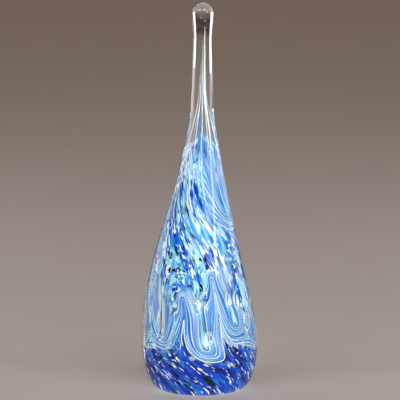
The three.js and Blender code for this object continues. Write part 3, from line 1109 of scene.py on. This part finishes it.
class RINGHOLDER_OT_heart(bpy.types.Operator):
    """Make the milky heart of the core, which shows in the foot"""

    bl_idname = "ring_holder.heart"
    bl_label = "Heart"

    sides = 72
    rings = 26
    foot_shares = (0.3, 0.6, 0.9, 1.0)

    def execute(self, context):
        colours = context.scene.ring_holder_colours
        foot = len(self.foot_shares)
        rise = np.linspace(FOOT_RECESS, HEART_TOP - FIT, self.rings)[1:]
        heights = np.concatenate([np.full(foot, FOOT_RECESS), rise])
        radii = core_radius(heights) - LAYER
        radii[:foot] *= self.foot_shares
        tall, turn, wide = ring_grid(heights, radii, divided(360.0, self.sides))
        points, faces = skin(around(core_shift(tall), wide, turn, tall))
        material = opal_material("heart_glass", colours.lilac, colours.sky,
                                 scale=160.0, amount=0.7)
        placed(mesh_piece("heart_glass", points, faces, material),
               "pale_blue_glass", "inner_gather")
        return {"FINISHED"}


class RINGHOLDER_OT_lines(bpy.types.Operator):
    """Lay white threads round the blank and rake them down with the colours"""

    bl_idname = "ring_holder.lines"
    bl_label = "Raked white lines"

    points_each = 90
    spacing = 6.4
    sunk = 0.02
    rim_points = 40
    rim_gap = 0.35
    rim_wide = 1.04
    rim_tall = 1.06
    rim_thickness = 0.45
    fine_points = 24
    fine_places = (-0.45, 0.05, 0.4)
    fine_run = (-0.75, 0.85)
    fine_thickness = (0.15, 0.3)

    def execute(self, context):
        colours = context.scene.ring_holder_colours
        rng = np.random.default_rng(5)
        paths = []
        ends = np.sin(np.linspace(0.02, 0.98, self.points_each) * math.pi) ** 0.5
        for azimuth, foot, length, reach, _, _ in (STROKES[index] for index in LINED_STROKES):
            middle = azimuth * BAND + twist(foot)
            for lift in np.arange(-1.0, length * 0.5, self.spacing):
                lift += rng.uniform(-1.0, 1.0)
                half = reach * rng.uniform(0.6, 1.2)
                off = rng.uniform(-0.3, 0.3) * reach
                across = middle + off + np.linspace(-half, half, self.points_each)
                height = foot + lift + 0.5 * np.sin(across / 2.3 + lift)
                degrees, tall = on_core(across, height)
                points = core_points(degrees, tall, -self.sunk)
                paths.append((points, ends * rng.uniform(0.25, 1.1)))
        for bubble in BUBBLES:
            paths += self.bubble_lines(bubble)
        material = opal_material("white_line_glass", colours.white, colours.aqua)
        piece = strands("white_lines_glass", paths, colours.line, 6, material)
        placed(piece, "white_glass", *nodes_like("white_loop"))
        return {"FINISHED"}

    def bubble_lines(self, bubble):
        """A rim round a bubble and a few fine lines drawn down behind it."""
        turn = np.linspace(self.rim_gap, FULL_TURN - self.rim_gap, self.rim_points)
        degrees, tall = bubble_place(bubble, self.rim_wide * np.sin(turn), np.cos(turn))
        tall = bubble[1] + (tall - bubble[1]) * self.rim_tall
        paths = [(core_points(degrees, tall), np.full(self.rim_points, self.rim_thickness))]
        share = np.linspace(*self.fine_run, self.fine_points)
        run = np.linspace(0, math.pi, self.fine_points)
        ends, swell = self.fine_thickness
        for beside in self.fine_places:
            places = bubble_place(bubble, beside * np.sqrt(1 - share ** 2), share)
            paths.append((core_points(*places), ends + swell * np.sin(run)))
        return paths


class RINGHOLDER_OT_chips(bpy.types.Operator):
    """Set the white, dark green and cobalt chips in the core's surface"""

    bl_idname = "ring_holder.chips"
    bl_label = "Chips"

    pieces_each = 5
    cluster_degrees = 5.0
    cluster_height = 1.1
    cluster_widths = (0.5, 1.15)
    speck_widths = (0.3, 0.55)
    loose_widths = (0.4, 0.9)
    green_tint = linear(0.05, 0.42, 0.2)
    green_middle = 46
    green_spread = 18
    green_heights = (3, 84)
    foot_heights = (2, 20)
    upper_heights = (20, 98)
    foot_share = 0.3

    def execute(self, context):
        colours = context.scene.ring_holder_colours
        rng = np.random.default_rng(colours.chip_seed)
        kinds = (
            ("white", 220, "white_glass", colours.white, colours.aqua, 0.78),
            ("green", 64, "dark_green_glass", colours.dark, self.green_tint, 0.75),
            ("cobalt", 50, "cobalt_glass", colours.cobalt, colours.royal, 1.1),
        )
        for name, count, slot, colour, other, width in kinds:
            degrees, height, wide = self.frame_chips(name)
            loose = rng.uniform(-180, 180, count)
            tall = self.loose_heights(name, rng, count)
            specks = SPECKLES[name]
            tiny = rng.uniform(*self.speck_widths, specks)
            loose = np.concatenate([loose, rng.uniform(*SPECKLE_AZIMUTHS, specks)])
            tall = np.concatenate([tall, rng.uniform(*SPECKLE_HEIGHTS, specks)])
            loose_wide = rng.uniform(*self.loose_widths, count) * width
            loose_wide = np.concatenate([loose_wide, tiny])
            free = combed(loose, tall) < 0.5
            material = opal_material(f"{name}_chip_glass", colour, other, scale=900.0)
            piece = chips(f"{name}_chips_glass", np.concatenate([degrees, loose[free]]),
                          np.concatenate([height, tall[free]]),
                          np.concatenate([wide, loose_wide[free]]), material)
            placed(piece, slot, *nodes_like(f"{name}_chip"))
        return {"FINISHED"}

    def frame_chips(self, name):
        """Degrees, height and width of the flakes that each large chip's box in the frame has."""
        degrees, heights, widths = [], [], []
        rng = np.random.default_rng(21)
        for node in nodes_like(f"{name}_chip"):
            low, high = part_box(node)
            middle = (low + high) / 2 / MM
            place = math.degrees(math.atan2(middle.x - core_shift(middle.z), -middle.y))
            for _ in range(self.pieces_each):
                degrees.append(place + rng.normal(0, self.cluster_degrees))
                heights.append(middle.z + rng.normal(0, self.cluster_height))
                widths.append(rng.uniform(*self.cluster_widths))
        return np.array(degrees), np.array(heights), np.array(widths)

    def loose_heights(self, name, rng, count):
        """Heights of the small chips: green ones lie in the middle, others crowd the foot."""
        if name == "green":
            tall = rng.normal(self.green_middle, self.green_spread, count)
            return np.clip(tall, *self.green_heights)
        low = rng.uniform(*self.foot_heights, count)
        high = rng.uniform(*self.upper_heights, count)
        return np.where(rng.random(count) < self.foot_share, low, high)


class RINGHOLDER_OT_threads(bpy.types.Operator):
    """Draw the blue and white threads from the top of the core up the neck"""

    bl_idname = "ring_holder.threads"
    bl_label = "Neck threads"

    points_each = 60
    gathered = 117.0
    thickness = 0.0011
    turns = 0.08
    fading = (0.104, 0.122)

    def thread(self, degrees, foot, top, beside, turns, thick):
        """A path that starts on the core, runs in to the axis and follows it up."""
        share = np.linspace(0, 1, self.points_each)
        height = foot + (top - foot) * share
        inward = np.clip((height - foot) / (self.gathered - foot), 0, 1)
        inward = inward * inward * (3 - 2 * inward)
        radius = core_radius(foot) * (1 - inward) + beside * inward
        shell = core_radius(height) * tongue_share(np.full(len(height), degrees), height)
        radius = np.where(height < CORE_TOP, np.maximum(radius, shell * 0.98), radius)
        angle = degrees + turns * 360.0 * share
        points = around(core_shift(height), radius, angle, height)
        taper = np.clip(share / 0.12, 0.05, 1) * np.clip((1 - share) / 0.5, 0.08, 1) ** 0.6
        return points, taper * thick

    def thin_threads(self, rng, count, spread, feet, tops, beside, thick):
        """Thin threads at random round the front, between the limits given."""
        return [self.thread(rng.uniform(-spread, spread), rng.uniform(*feet),
                            rng.uniform(*tops), rng.uniform(*beside), self.turns, thick)
                for _ in range(count)]

    def execute(self, context):
        colours = context.scene.ring_holder_colours
        rng = np.random.default_rng(8)
        blue = [self.thread(-22, 90, 128, 0.7, 0.1, 0.36)]
        blue += self.thin_threads(rng, 4, 70, (86, 94), (108, 124), (0.6, 1.4), 0.2)
        white = [self.thread(35, 92, 141, 0.75, 0.1, 0.45)]
        white += self.thin_threads(rng, 7, 80, (84, 94), (110, 140), (0.6, 1.6), 0.22)
        blue_glass = opal_material("blue_thread_glass", colours.sky, colours.azure,
                                   upper=(colours.lilac, *self.fading))
        white_glass = opal_material("white_thread_glass", colours.white, colours.lilac)
        for name, slot, paths, material in (
                ("blue_thread", "cobalt_glass", blue, blue_glass),
                ("white_thread", "white_glass", white, white_glass)):
            placed(strands(f"{name}_glass", paths, self.thickness, 8, material), slot, name)
        return {"FINISHED"}


# ---- stage

CAMERA_DISTANCE = 2.0
CAMERA_ELEVATION = math.radians(10.0)
CAMERA_LENS = 469.2
AIM = (-0.0002, 0.0, 0.07357)

FLOOR_REACH = 3.0
FLOOR_DROP = -0.00005
FLOOR_SHADE = 0.94
SURROUND = (0.062, 0.052, 0.046, 1)

# Soft lights: degrees from the front, distance, height, width and height of the light,
# watts and colour.
LIGHTS = {
    "key": (22, 0.75, 0.80, (0.60, 0.45), 6.1, (1.0, 1.0, 1.0)),
    "fill": (-42, 0.75, 0.75, (0.60, 0.45), 4.0, (1.0, 1.0, 1.0)),
    "front_strip": (54, 0.60, 0.35, (0.11, 0.34), 0.8, (1.0, 1.0, 1.0)),
    "left_side": (-125, 0.55, 0.16, (0.40, 0.44), 0.85, (0.95, 0.94, 1.0)),
    "right_side": (128, 0.55, 0.16, (0.30, 0.44), 0.7, (0.95, 0.94, 1.0)),
    "back_glow": (180, 1.50, 1.30, (1.60, 1.00), 6.5, (1.0, 0.70, 0.52)),
}


def looking(source, target):
    """Turns an object's -Z towards a target point."""
    aim = Vector(target) - source.location
    source.rotation_euler = aim.to_track_quat("-Z", "Y").to_euler()


def softbox(name, azimuth, distance, height, size, power, colour):
    """A soft rectangular light at degrees from the front, aimed at the glass."""
    light = bpy.data.lights.new(name, "AREA")
    light.shape = "RECTANGLE"
    light.size, light.size_y = size
    light.energy = power
    light.color = colour
    lamp = linked(name, light)
    angle = math.radians(azimuth)
    lamp.location = (distance * math.sin(angle), -distance * math.cos(angle), height)
    looking(lamp, AIM)
    lamp.visible_camera = False


class RINGHOLDER_OT_stage(bpy.types.Operator):
    """Make the pale floor, the studio light and the camera"""

    bl_idname = "ring_holder.stage"
    bl_label = "Stage"

    def execute(self, context):
        stage = context.scene.ring_holder_stage
        material, tree, shader = new_material("pale_floor")
        cloud = noise(tree, (-3, 0), object_place(tree, (-4, 0)), 30.0, 4.0)
        other = [channel * FLOOR_SHADE for channel in stage.floor]
        shade = mixed(tree, (-1, 0), cloud, (*stage.floor, 1), (*other, 1))
        fill(tree, shader, {"Base Color": shade, "Roughness": 0.7})
        corners = [(x * FLOOR_REACH, y * FLOOR_REACH, FLOOR_DROP)
                   for x, y in ((-1, -1), (1, -1), (1, 1), (-1, 1))]
        mesh_piece("floor", corners, [(0, 1, 2, 3)], material, smooth=False)

        world = bpy.data.worlds.new("studio")
        world.use_nodes = True
        background = world.node_tree.nodes["Background"]
        fill(world.node_tree, background, {"Color": SURROUND, "Strength": 1.0})
        context.scene.world = world

        for name, (azimuth, distance, height, size, power, colour) in LIGHTS.items():
            softbox(name, azimuth, distance, height, size, power * stage.power, colour)

        camera = bpy.data.cameras.new("camera")
        camera.lens = CAMERA_LENS
        camera.clip_start = 0.01
        view = linked("camera", camera)
        back = CAMERA_DISTANCE * math.cos(CAMERA_ELEVATION)
        lift = CAMERA_DISTANCE * math.sin(CAMERA_ELEVATION)
        view.location = (AIM[0], AIM[1] - back, AIM[2] + lift)
        looking(view, AIM)
        context.scene.camera = view
        context.scene.view_settings.view_transform = "Standard"
        return {"FINISHED"}


class RINGHOLDER_PT_panel(bpy.types.Panel):
    """Lists the ring holder's pieces and settings"""

    bl_idname = "RINGHOLDER_PT_panel"
    bl_label = "Ring holder"
    bl_space_type = "VIEW_3D"
    bl_region_type = "UI"
    bl_category = "Ring holder"

    def draw(self, context):
        for operator in OPERATORS:
            self.layout.operator(operator.bl_idname)
        for group in (context.scene.ring_holder_glass, context.scene.ring_holder_colours,
                      context.scene.ring_holder_stage):
            box = self.layout.box()
            for name in group.__annotations__:
                box.prop(group, name)


GROUPS = (
    ("ring_holder_glass", RingHolderGlass),
    ("ring_holder_colours", RingHolderColours),
    ("ring_holder_stage", RingHolderStage),
)
OPERATORS = (
    RINGHOLDER_OT_stage,
    RINGHOLDER_OT_casing,
    RINGHOLDER_OT_core,
    RINGHOLDER_OT_heart,
    RINGHOLDER_OT_lines,
    RINGHOLDER_OT_chips,
    RINGHOLDER_OT_threads,
)


def register():
    for name, group in GROUPS:
        bpy.utils.register_class(group)
        setattr(bpy.types.Scene, name, PointerProperty(type=group))
    for kind in (*OPERATORS, RINGHOLDER_PT_panel):
        bpy.utils.register_class(kind)


def unregister():
    for kind in (RINGHOLDER_PT_panel, *reversed(OPERATORS)):
        bpy.utils.unregister_class(kind)
    for name, group in reversed(GROUPS):
        delattr(bpy.types.Scene, name)
        bpy.utils.unregister_class(group)


def main():
    register()
    bpy.ops.ring_holder.stage()
    bpy.ops.ring_holder.casing()
    bpy.ops.ring_holder.core()
    bpy.ops.ring_holder.heart()
    bpy.ops.ring_holder.lines()
    bpy.ops.ring_holder.chips()
    bpy.ops.ring_holder.threads()


if __name__ == "__main__":
    main()
